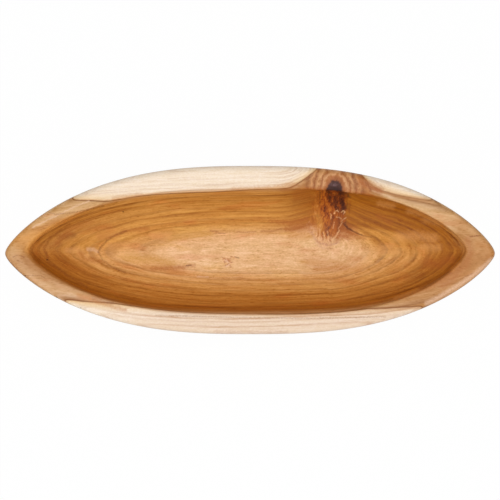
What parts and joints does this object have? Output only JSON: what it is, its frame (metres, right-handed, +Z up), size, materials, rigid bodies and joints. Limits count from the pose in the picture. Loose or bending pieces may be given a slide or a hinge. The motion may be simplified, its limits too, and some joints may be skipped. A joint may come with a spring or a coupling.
{
  "type": "fruit bowl",
  "caption": "Long boat-shaped bowl carved from solid wood, with a broad flat rim, pointed raised ends, a smooth oval hollow and a small flat foot.",
  "frame": {"origin": "on the surface the bowl stands on, under the middle of its length and width, at the middle of its flat foot", "axes": "+X along the bowl towards its right tip, +Y towards its back side, where the knot is, +Z up out of the hollow"},
  "size_m": [0.5, 0.1746, 0.0769],
  "materials": {
    "oiled_teak": "oiled satin"
  },
  "bodies": {
    "root": {"bowl": "oiled_teak"}
  },
  "joints": []
}
